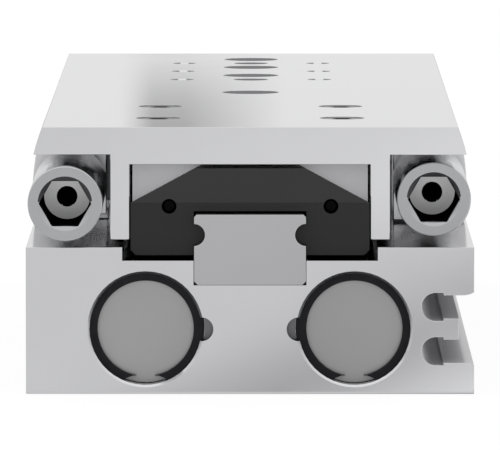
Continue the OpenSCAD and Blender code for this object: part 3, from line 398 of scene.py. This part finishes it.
# Zinc plating gives screw steel a soft and slightly cloudy shine.
zinc_screw = plated("zinc plated screw steel", "#8E8F92", 0.30)
M3 = {"head": 2.75 * MM, "height": 3.0 * MM, "key": 2.5 * MM, "shank": 1.45 * MM,
      "pitch": 0.5 * MM}
M4 = {"head": 3.5 * MM, "height": 4.0 * MM, "key": 3.0 * MM, "shank": 1.95 * MM,
      "pitch": 0.7 * MM}
screwed("rail_socket_screws", "rail_screws", (1, 4, 1), "+z", finish=zinc_screw,
        body="body", slot="screw_steel", **M3)

# ---------------------------------------------------------------- bore ends
# Each bore is shut by a turned aluminium cap with an O-ring, held by a spring
# steel retaining ring that snaps into a groove. The cap shows its turning marks.


def turned(name, code, rough, pitch, depth):
    """A metal faced on a lathe: fine rings round the axis of the bore it sits in.

    Real feed marks lie about 0.1 mm apart, and their pitch is drawn wider to show.
    The metal's own crystals mottle the gloss in patches of 4 mm.
    """
    made, tree = blank(name)
    place = add(tree, "ShaderNodeTexCoord").outputs["Object"]
    apart = add(tree, "ShaderNodeSeparateXYZ", {"Vector": place}).outputs
    mirrored = add(tree, "ShaderNodeMath", {0: apart["X"]}, operation="ABSOLUTE")
    folded = add(tree, "ShaderNodeCombineXYZ", {"X": mirrored, "Y": 0.0, "Z": apart["Z"]})
    centred = add(tree, "ShaderNodeMapping", {
        "Vector": folded, "Location": (-bore_x, 0.0, -bore_z)})
    # At scale 1 the rings of a wave texture lie 0.314 apart.
    rings = add(tree, "ShaderNodeTexWave", {
        "Vector": centred, "Scale": 0.314 / pitch, "Distortion": 0.4, "Detail": 2.0,
        "Detail Scale": 1.5}, wave_type="RINGS", rings_direction="Y").outputs["Fac"]
    cloud = add(tree, "ShaderNodeTexNoise", {
        "Vector": place, "Scale": 1 / (4 * MM), "Detail": 2.0})
    both = add(tree, "ShaderNodeMath", {0: rings, 1: cloud}, operation="ADD")
    gloss = add(tree, "ShaderNodeMapRange", {
        "Value": both, "From Min": 0.3, "From Max": 1.7,
        "To Min": rough * 0.9, "To Max": rough * 1.1})
    bump = add(tree, "ShaderNodeBump", {"Strength": 0.15, "Distance": depth, "Height": rings})
    return surfaced(made, code, (0.98, 1.0), rings, gloss, bump)


# Facing on a lathe leaves rings that spread every highlight to a satin disc.
turned_cap = turned("turned aluminium cap", "#9F9F9F", 0.42, 0.30 * MM, 0.002 * MM)
dress(turned_cap, "rear_cap_left", "rear_cap_right")


def moulded(name, code, rough, grain, depth, specular=0.5):
    """Rubber or plastic out of a mould that was eroded with sparks to a fine grain.

    The real grain is 0.02 to 0.05 mm across, and is drawn coarser to show. The bloom
    on the skin lies in patches of 5.5 mm.
    """
    made, tree = blank(name)
    place = add(tree, "ShaderNodeTexCoord").outputs["Object"]
    bloom = add(tree, "ShaderNodeTexNoise", {
        "Vector": place, "Scale": 1 / (5.56 * MM), "Detail": 2.0})
    skin = add(tree, "ShaderNodeTexNoise", {
        "Vector": place, "Scale": 1 / grain, "Detail": 2.0})
    gloss = add(tree, "ShaderNodeMapRange", {
        "Value": skin, "From Min": 0.3, "From Max": 0.7,
        "To Min": rough - 0.06, "To Max": rough + 0.06})
    bump = add(tree, "ShaderNodeBump", {"Strength": 0.3, "Distance": depth, "Height": skin})
    return surfaced(made, code, (0.85, 1.0), bloom, gloss, bump, 0.0, specular)


# Moulded rubber is nearly black and soft to the eye, with a faint bloom on it.
nitrile = moulded("nitrile rubber", "#1A1A1B", 0.45, 0.15 * MM, 0.01 * MM)
# Phosphating and oil leave stamped spring steel charcoal grey and dull.
phosphated_spring = plated("phosphated spring steel", "#28282A", 0.42)
dress(nitrile, "rear_cap_o_rings", "gland_o_rings", "rod_seals", "piston_seals")
dress(phosphated_spring, "rear_retaining_ring_left", "rear_retaining_ring_right",
      "front_retaining_ring_left", "front_retaining_ring_right")

# ---------------------------------------------------------------- rod glands
# At the front each rod runs through a turned bronze gland, sealed by an O-ring
# and a rod seal and held by a retaining ring like the one at the rear.

# Turned bronze is a warm yellow brown, and its rings catch the light.
gland_bronze = turned("turned gland bronze", "#B08A55", 0.28, 0.25 * MM, 0.003 * MM)
dress(gland_bronze, "rod_gland_left", "rod_gland_right")

# ---------------------------------------------------------------- pistons and rods
# Each turned aluminium piston carries a seal, an acetal wear ring and a magnet
# for the sensors. Its rod is hard chromed steel, screwed to the yoke.

# A fine finishing cut makes the piston brighter than the cap.
turned_piston = turned("turned aluminium piston", "#BEBFC1", 0.26, 0.30 * MM, 0.003 * MM)
# Acetal is milky and waxy.
acetal = moulded("acetal wear ring", "#E4E0D6", 0.42, 0.2 * MM, 0.005 * MM)
# Magnet powder pressed with resin is a dull brown black.
bonded_magnet = moulded("bonded magnet compound", "#3A3733", 0.6, 0.2 * MM, 0.01 * MM)
# Hard chrome that was ground and polished is almost a mirror, with hairlines along it.
chromed_rod = grained("hard chromed rod steel", "#C9CBCE", 0.12, 0.03,
                      0.05 * MM, "y", 0.001 * MM)
# Blackened steel is nearly black and still shines as metal does.
blackened_screw = plated("blackened screw steel", "#38383B", 0.3)
dress(turned_piston, "piston_left", "piston_right")
dress(acetal, "piston_wear_rings")
dress(bonded_magnet, "piston_magnets")
dress(chromed_rod, "piston_rod_left", "piston_rod_right")
screwed("rod_socket_screws", "rod_screws", (2, 1, 1), "+y", finish=blackened_screw,
        body="table", slot="dark_screw_steel", **M4)

# ---------------------------------------------------------------- carriage
# The carriage is a ground steel block on two rows of balls. Black nylon caps at
# its ends turn the balls round, and a rubber wiper covers each cap.

# The block is ground along its travel: an even grey with a fine straight grain.
ground_block_steel = grained("ground carriage steel", "#B0B0B2", 0.22, 0.03,
                             0.06 * MM, "y", 0.001 * MM)
# Nylon takes the grain of its mould: charcoal, with a broad soft shine.
moulded_nylon = moulded("moulded black nylon", "#252526", 0.36, 0.12 * MM, 0.004 * MM, 0.35)
# The wiper's rubber is blacker and duller than the cap.
wiper_rubber = moulded("wiper rubber", "#1D1D1E", 0.5, 0.12 * MM, 0.008 * MM, 0.3)
# Lapping leaves the balls as bright as a mirror.
bearing_ball = plated("lapped bearing steel", "#C8C9CC", 0.06)
# Black oxide on such small screws is so dark that only their rims catch light.
black_pin_screw = plated("black oxide screw", "#0B0B0C", 0.12)
block_low, block_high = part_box("carriage_block")


def relieved(shape):
    """Leans the upper part of the block's end faces back, clear of the end caps."""
    fold_z, lean = 24.2 * MM, 0.09
    bmesh.ops.bisect_plane(shape, geom=shape.verts[:] + shape.edges[:] + shape.faces[:],
                           plane_co=(0, 0, fold_z), plane_no=(0, 0, 1))
    for corner in shape.verts:
        back = lean * max(0, corner.co.z - fold_z)
        if abs(corner.co.y - block_low[1]) < touching:
            corner.co.y += back
        elif abs(corner.co.y - block_high[1]) < touching:
            corner.co.y -= back


machined("ground_carriage_block", "carriage_block", 0.1 * MM, "table",
         (ground_block_steel,), draft=relieved)


def drafted(shape):
    """Tapers the caps' raked flanks towards the block, so that they leave their mould."""
    near_block = 0.05 * MM
    flank_x, flank_z, sunk = 15 * MM, 25.4 * MM, 0.95 * MM
    crest_x, crest_z, narrowed = (7 * MM, 7.5 * MM), 30 * MM, 0.85
    for corner in shape.verts:
        place = corner.co
        if min(abs(place.y - end) for end in (block_low[1], block_high[1])) > near_block:
            continue
        if place.z > flank_z and abs(place.x) > flank_x:
            place.z -= sunk
        elif place.z > crest_z and crest_x[0] < abs(place.x) < crest_x[1]:
            place.x *= narrowed


for way in ("rear", "front"):
    machined("moulded_" + way + "_cap", way + "_end_cap", 0, "table",
             (moulded_nylon,), draft=drafted)
dress(wiper_rubber, "rear_wiper", "front_wiper")
dress(black_pin_screw, "rear_end_cap_screws", "front_end_cap_screws")


def ball_tree():
    """Steel balls nose to tail round a flat loop with half-round ends."""
    tree, given = new_tree("ball circuit", {
        "Centre": "Geometry", "Loop width": "Float", "Loop length": "Float",
        "Ball radius": "Float", "Balls": "Int", "Finish": "Material"}, "Circuit")
    outline = add(tree, "GeometryNodeCurvePrimitiveQuadrilateral", {
        "Width": given["Loop width"], "Height": given["Loop length"]})
    # A little under half the width, so that the two bends don't meet in one point.
    bend = add(tree, "ShaderNodeMath", {0: given["Loop width"], 1: 0.4999},
               operation="MULTIPLY")
    rounded = add(tree, "GeometryNodeFilletCurve", {
        "Curve": outline, "Count": 16, "Radius": bend, "Limit Radius": True}, mode="POLY")
    spaced = add(tree, "GeometryNodeCurveToPoints", {
        "Curve": rounded, "Count": given["Balls"]}, mode="COUNT")
    ball = add(tree, "GeometryNodeMeshIcoSphere", {
        "Radius": given["Ball radius"], "Subdivisions": 4})
    row = add(tree, "GeometryNodeInstanceOnPoints", {"Points": spaced, "Instance": ball})
    loop = add(tree, "GeometryNodeInstanceOnPoints", {
        "Points": given["Centre"], "Instance": row})
    real = add(tree, "GeometryNodeRealizeInstances", {"Geometry": loop})
    coated = add(tree, "GeometryNodeSetMaterial", {
        "Geometry": real, "Material": given["Finish"]})
    add(tree, "NodeGroupOutput", {"Circuit": coated})
    return tree


ball_circuit = ball_tree()
for side in ("left", "right"):
    low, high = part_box("balls_" + side)
    ball_size = high[2] - low[2]
    middle = [(a + b) / 2 for a, b in zip(low, high)]
    grown("ball_circuit_" + side, ball_circuit, [middle], {
        "Loop width": high[0] - low[0] - ball_size, "Loop length": high[1] - low[1] - ball_size,
        "Ball radius": ball_size / 2, "Balls": 30, "Finish": bearing_ball},
        "table", "polished_steel", "balls_" + side, smooth=60)

# ---------------------------------------------------------------- table
# The moving table is milled from aluminium bar and clear anodised. Four screws
# sunk in its top hold it to the carriage.

# A wide cutter and anodising give it a smoother and brighter sheen than the body.
anodised_table = grained("clear anodised milled aluminium", "#C5C5C7", 0.09, 0.015,
                         0.08 * MM, "y", 0.0004 * MM)
# A drill's feed marks run round the holes and dull their walls; their dark grey is painted
# shade in the holes.
hole_wall_painted_shade = grained("drilled hole wall with painted shade", "#7C7C7E", 0.28, 0.04, 0.12 * MM, "z",
                       0.0004 * MM)
table_low, table_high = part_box("table")


def table_break(edge):
    """Countersinks the load's threads, and breaks the table's other sharp edges."""
    thread_x, reach, first_y, countersink = 10 * MM, 1.3 * MM, -20 * MM, 0.5 * MM
    on_thread = all(abs(abs(end.co.x) - thread_x) < reach and end.co.y > first_y
                    for end in edge.verts)
    return countersink if on_thread and lies_on(edge, 2, table_high[2]) else fine_break


def table_part(place, facing):
    """1, painted shade, on the walls of the holes in the table's top, else 0."""
    deepest, side_margin, end_margin = 3.5 * MM, 1.2 * MM, 0.5 * MM
    upright, aslant = 0.5, 0.22
    inside = (place.z > table_high[2] - deepest
              and abs(place.x) < table_high[0] - side_margin
              and table_low[1] + end_margin < place.y < table_high[1] - end_margin)
    return int(inside and (abs(facing.z) < upright or abs(facing.x) > aslant))


# The walls of the table's holes get painted shade.
machined("milled_table", "table", table_break, "table",
         (anodised_table, hole_wall_painted_shade), table_part)
screwed("carriage_socket_screws", "carriage_screws", (2, 2, 1), "+z",
        finish=blackened_screw, body="table", slot="dark_screw_steel", **M3)

# ---------------------------------------------------------------- yoke
# The yoke joins the two rods to the table. It is milled from the same bar, and
# its six screw heads are sunk in its front face.

machined("milled_yoke", "yoke", 0.2 * MM, "table",
         (anodised_table,))
screwed("yoke_socket_screws", "yoke_screws", (4, 1, 1), "+y", finish=blackened_screw,
        body="table", slot="dark_screw_steel", **M4)

# ---------------------------------------------------------------- dampers
# One shock absorber stands each side: a plated barrel in a milled clamp holder,
# locked by a long zinc plated sleeve, with a rubber buffer that meets a stop.

# The clamp is milled upright, so its fine grain runs up and down.
milled_holder = grained("milled aluminium holder", "#C6C6C8", 0.18, 0.02,
                        0.08 * MM, "z", 0.0001 * MM)
# Bright zinc is a cool pale grey with a soft cloudy shine.
zinc_sleeve = plated("zinc plated sleeve steel", "#BDBEC0", 0.2)
# The sleeve's end ring was faced after drawing, and is a little darker.
faced_ring = plated("faced zinc plated sleeve end", "#A7A8AA", 0.2)
# Painted shade: the key's socket and the nose's small recess are matt and as black as moulded
# rubber.
shaded_socket = moulded("steel socket with painted shade", "#101011", 0.6, 0.1 * MM, 0.0, 0.0)
# The mouth's cone is turned; its lower side faces the light and gets a painted highlight.
cone_painted_highlight = plated("turned cone with painted highlight", "#C6C7C9", 0.16)
# The cone's upper side faces down and gets painted shade.
cone_painted_shade = plated("turned cone with painted shade", "#3E3E40", 0.25)
# Nickel plating is smooth and a shade warmer than zinc.
plated_barrel = plated("nickel plated barrel steel", "#A6A7AA", 0.2)
# The domed nose is a satin grey. It lies deep in the sleeve, and a faint glow that
# grows upwards stands for the light that finds its way in.
domed_nose = plated("domed nickel plated nose", "#B0B1B3", 0.35)
# A moulded rubbery buffer is charcoal and dull.
polyurethane = moulded("polyurethane buffer", "#2B2B2B", 0.45, 0.2 * MM, 0.01 * MM)
# Hardening leaves the stops a darker grey, and grinding gives them a grain.
hardened_stop = grained("hardened stop steel", "#7F8083", 0.25, 0.04,
                        0.06 * MM, "x", 0.001 * MM)
sleeve_low, sleeve_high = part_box("home_locking_sleeve")
nose_z = (sleeve_low[2] + sleeve_high[2]) / 2
nose_tree = domed_nose.node_tree
nose_place = add(nose_tree, "ShaderNodeTexCoord").outputs["Object"]
nose_height = add(nose_tree, "ShaderNodeSeparateXYZ", {"Vector": nose_place}).outputs["Z"]
nose_glow = add(nose_tree, "ShaderNodeMapRange", {
    "Value": nose_height, "From Min": nose_z - 3.1 * MM, "From Max": nose_z + 2.5 * MM,
    "To Min": 0.13, "To Max": 0.34})
nose_shader = nose_tree.nodes["Principled BSDF"].inputs
nose_shader["Emission Strength"].default_value = 1.0
nose_tree.links.new(nose_glow.outputs["Result"], nose_shader["Emission Color"])


def damper_parts(sleeve):
    """Two functions that tell the faces of a damper's sleeve and barrel apart."""
    low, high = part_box(sleeve)
    axis_x, axis_z, mouth_y = (low[0] + high[0]) / 2, (low[2] + high[2]) / 2, low[1]
    ring_end, cone_end, socket_end, socket_radius = 0.1 * MM, 0.55 * MM, 14 * MM, 3.7 * MM
    facing_up, facing_down, facing_rear = 0.62, -0.05, -0.95
    recess_radius, nose_radius, nose_end = 1.42 * MM, 3.05 * MM, 15.7 * MM

    def off_axis(place):
        """How far a point lies from the damper's axis."""
        return ((place.x - axis_x) ** 2 + (place.z - axis_z) ** 2) ** 0.5

    def sleeve_part(place, facing):
        """0 outside, 1 end ring and cone's sides, 2 cone's low part with painted highlight, 3
        socket, 4 cone's top with painted shade.
        """
        deep = place.y - mouth_y
        if facing.y < facing_rear and deep < ring_end:
            return 1
        if off_axis(place) > socket_radius or deep > socket_end:
            return 0
        if deep < cone_end:
            # Cone faces that turn up get a painted highlight, and those that turn down get
            # painted shade.
            return 2 if facing.z > facing_up else 4 if facing.z < facing_down else 1
        return 3

    def barrel_part(place, facing):
        """1 on the domed nose; 2, painted shade, in its small recess and round the nose; else
        0.
        """
        if place.y - mouth_y > nose_end and off_axis(place) > recess_radius:
            return 0
        return 1 if recess_radius < off_axis(place) < nose_radius else 2

    return sleeve_part, barrel_part


# Countersunk foot screws: the head narrows to the seat and has no knurl.
M3_sunk = {"head": 2.8 * MM, "height": 1.6 * MM, "key": 2.0 * MM, "shank": 1.45 * MM,
           "pitch": 0.5 * MM, "seat": 1.5 * MM, "knurl": 1.0}
for kind, body, up in (("home", "body", "+z"), ("end", "table", "-z")):
    sleeve_part, barrel_part = damper_parts(kind + "_locking_sleeve")
    machined(kind + "_plated_sleeve", kind + "_locking_sleeve", fine_break, body,
             (zinc_sleeve, faced_ring, cone_painted_highlight, shaded_socket, cone_painted_shade),
             sleeve_part)
    # The recess in the barrel's nose and the faces round the nose get painted shade.
    machined(kind + "_plated_barrel", kind + "_damper_barrel", 0, kind + "_damper",
             (plated_barrel, domed_nose, shaded_socket), barrel_part)
    machined(kind + "_milled_holder", kind + "_damper_holder", 0.12 * MM, body,
             (milled_holder,))
    screwed(kind + "_countersunk_screws", kind + "_holder_screws", (1, 2, 1), up,
            finish=blackened_screw, body=body, slot="dark_screw_steel", **M3_sunk)
machined("ground_home_stop", "home_stop", 0.2 * MM, "table",
         (hardened_stop,))
machined("ground_end_stop", "end_stop", 0.2 * MM, "body",
         (hardened_stop,))
screwed("home_stop_socket_screws", "home_stop_screws", (1, 2, 1), "-x",
        finish=blackened_screw, body="table", slot="dark_screw_steel", **M3)
screwed("end_stop_socket_screw", "end_stop_screw", (1, 1, 1), "+z",
        finish=blackened_screw, body="body", slot="dark_screw_steel", **M4)
dress(chromed_rod, "home_plunger", "end_plunger")
dress(polyurethane, "home_buffer", "end_buffer")

# ---------------------------------------------------------------- studio
# A plain pale floor and an even white room with a dim floor side; two boards that
# only the metal shows; the camera stands low behind the rear with a long lens.


def lit(name, strength_of):
    """A material that only glows, as strong as a function of its tree says."""
    made, tree = blank(name)
    place = add(tree, "ShaderNodeTexCoord").outputs["Object"]
    glow = add(tree, "ShaderNodeEmission", {
        "Color": tint("#FFFFFF"), "Strength": strength_of(tree, place)})
    add(tree, "ShaderNodeOutputMaterial", {"Surface": glow})
    return made


def faded(tree, value, stops):
    """A smooth curve through (value, strength) stops."""
    first, last = stops[0][0], stops[-1][0]
    part = add(tree, "ShaderNodeMapRange", {
        "Value": value, "From Min": first, "From Max": last})
    ramp = add(tree, "ShaderNodeValToRGB", {"Fac": part})
    marks = ramp.color_ramp.elements
    marks[0].color, marks[1].color = [[stops[k][1]] * 3 + [1.0] for k in (0, -1)]
    for at, strength in stops[1:-1]:
        marks.new((at - first) / (last - first)).color = [strength] * 3 + [1.0]
    return ramp.outputs["Color"]


def shown(name, corners, material, only_in_gloss=False):
    """One flat stage panel."""
    mesh = bpy.data.meshes.new(name)
    mesh.from_pydata(corners, [], [list(range(len(corners)))])
    panel = bpy.data.objects.new(name, mesh)
    bpy.context.scene.collection.objects.link(panel)
    mesh.materials.append(material)
    if only_in_gloss:
        panel.visible_camera = panel.visible_diffuse = panel.visible_shadow = False
        panel.visible_transmission = False
    return panel


def seen_directly(tree):
    """1 for rays that show the room itself, in the lens, a metal or glass; else 0."""
    ray = add(tree, "ShaderNodeLightPath").outputs
    plain = add(tree, "ShaderNodeMath", {0: ray["Is Camera Ray"], 1: ray["Is Glossy Ray"]},
                operation="MAXIMUM")
    return add(tree, "ShaderNodeMath", {0: plain, 1: ray["Is Transmission Ray"]},
               operation="MAXIMUM")


# Matt floor paint scatters a pale light upwards, and is nearly white to the eye.
floor_paint, floor_tree = blank("studio floor")
matt = add(floor_tree, "ShaderNodeBsdfDiffuse", {"Color": tint("#E7E7E7")})
faint = add(floor_tree, "ShaderNodeBsdfDiffuse", {"Color": tint("#616161")})
glow = add(floor_tree, "ShaderNodeEmission", {"Color": tint("#FFFFFF"), "Strength": 0.9})
pale = add(floor_tree, "ShaderNodeAddShader", {0: faint, 1: glow})
choice = add(floor_tree, "ShaderNodeMixShader", {
    0: seen_directly(floor_tree), 1: matt, 2: pale})
add(floor_tree, "ShaderNodeOutputMaterial", {"Surface": choice})
floor_edge = 6
floor = shown("studio_floor", [(-floor_edge, -floor_edge, 0), (floor_edge, -floor_edge, 0),
                               (floor_edge, floor_edge, 0), (-floor_edge, floor_edge, 0)],
              floor_paint)
# The metal mirrors the room's dim lower half in place of the floor.
floor.visible_glossy = False


def front_board(tree, place):
    """Bright board before the rear end: a soft grey band lies across it slantwise.

    The band moves aside by slope for each metre away from the part. Within 0.25 m it
    shows alone, and beyond 0.34 m the board is plain and a little brighter on the right.
    """
    slope, shift = 0.224, 3.2 * MM
    slant = add(tree, "ShaderNodeVectorMath", {0: place, 1: (1.0, slope, 0.0)},
                operation="DOT_PRODUCT").outputs["Value"]
    band = add(tree, "ShaderNodeMath", {0: slant, 1: slope * -bar_low[1] - shift},
               operation="ADD")
    near = faded(tree, band, [(-0.034, 1.0), (-0.024, 0.99), (-0.012, 0.80), (0.0, 0.66),
                              (0.008, 0.76), (0.016, 0.97), (0.026, 1.2)])
    apart = add(tree, "ShaderNodeSeparateXYZ", {"Vector": place}).outputs
    plain = faded(tree, apart["X"], [(-0.05, 1.0), (0.0, 1.10), (0.05, 1.25)])
    nearness = add(tree, "ShaderNodeMapRange", {
        "Value": apart["Y"], "From Min": bar_low[1] - 0.34, "From Max": bar_low[1] - 0.25},
        interpolation_type="SMOOTHSTEP")
    return add(tree, "ShaderNodeMix", {0: nearness, 6: plain, 7: near},
               data_type="RGBA").outputs[2]


def back_board(tree, place):
    """Pale board behind the front end, with a grey patch that ends sharply at the left.

    The patch fades in between 56.5 and 64.5 mm above the floor.
    """
    apart = add(tree, "ShaderNodeSeparateXYZ", {"Vector": place}).outputs
    patch = faded(tree, apart["X"], [(-0.025, 0.88), (-0.0225, 0.73), (-0.019, 0.42),
                                     (-0.013, 0.42), (-0.004, 0.64), (0.006, 0.87)])
    height = add(tree, "ShaderNodeMapRange", {
        "Value": apart["Z"], "From Min": 0.0565, "From Max": 0.0645},
        interpolation_type="SMOOTHSTEP")
    return add(tree, "ShaderNodeMix", {0: height, 6: (0.88, 0.88, 0.88, 1.0), 7: patch},
               data_type="RGBA").outputs[2]


# One board lies on the floor before the rear end; the other stands behind the front.
board_x, board_z = 0.3, 0.0002
near_y, far_y = bar_low[1] - 0.6, bar_low[1] - 0.001
shown("front_board", [(-board_x, near_y, board_z), (board_x, near_y, board_z),
                      (board_x, far_y, board_z), (-board_x, far_y, board_z)],
      lit("front board", front_board), True)
wall_x, wall_y, wall_z = 0.5, bar_high[1] + 0.32, 0.12
shown("back_board", [(-wall_x, wall_y, 0), (wall_x, wall_y, 0), (wall_x, wall_y, wall_z),
                     (-wall_x, wall_y, wall_z)], lit("back board", back_board), True)

# The room is evenly white. The metal mirrors it dim below and brighter overhead.
room = bpy.data.worlds.new("studio room")
bpy.context.scene.world = room
room.use_nodes = True
room_tree = room.node_tree
room_tree.nodes.clear()
heading = add(room_tree, "ShaderNodeTexCoord").outputs["Generated"]
upward = add(room_tree, "ShaderNodeSeparateXYZ", {"Vector": heading}).outputs["Z"]
in_metal = faded(room_tree, upward, [(-1.0, 0.25), (-0.4, 0.5), (-0.12, 0.98), (0.3, 1.0),
                                     (0.6, 1.15), (1.0, 1.35)])
elsewhere = add(room_tree, "ShaderNodeMapRange", {
    "Value": seen_directly(room_tree), "From Min": 0.0, "From Max": 1.0,
    "To Min": 0.95, "To Max": 1.0})
ray = add(room_tree, "ShaderNodeLightPath").outputs
brightness = add(room_tree, "ShaderNodeMix", {
    0: ray["Is Glossy Ray"], 6: elsewhere, 7: in_metal}, data_type="RGBA")
sky = add(room_tree, "ShaderNodeBackground", {"Color": brightness.outputs[2], "Strength": 1.0})
add(room_tree, "ShaderNodeOutputWorld", {"Surface": sky})
# Light that comes evenly from all round needs no map of its bright places.
room.cycles.sampling_method = "NONE"

# A long lens 1.2 m off takes in 67 mm, so the part's sides run back almost parallel.
lens = bpy.data.cameras.new("camera")
lens.lens = 639
lens.sensor_width = 36
lens.clip_start = 0.05
lens.clip_end = 20
camera = bpy.data.objects.new("camera", lens)
bpy.context.scene.collection.objects.link(camera)
stand, aim = Vector((0.00123, -1.274, 0.1141)), Vector((0, -0.091, 0.0227))
camera.location = stand
camera.rotation_euler = (aim - stand).to_track_quat("-Z", "Y").to_euler()
bpy.context.scene.camera = camera
bpy.context.scene.view_settings.view_transform = "Standard"
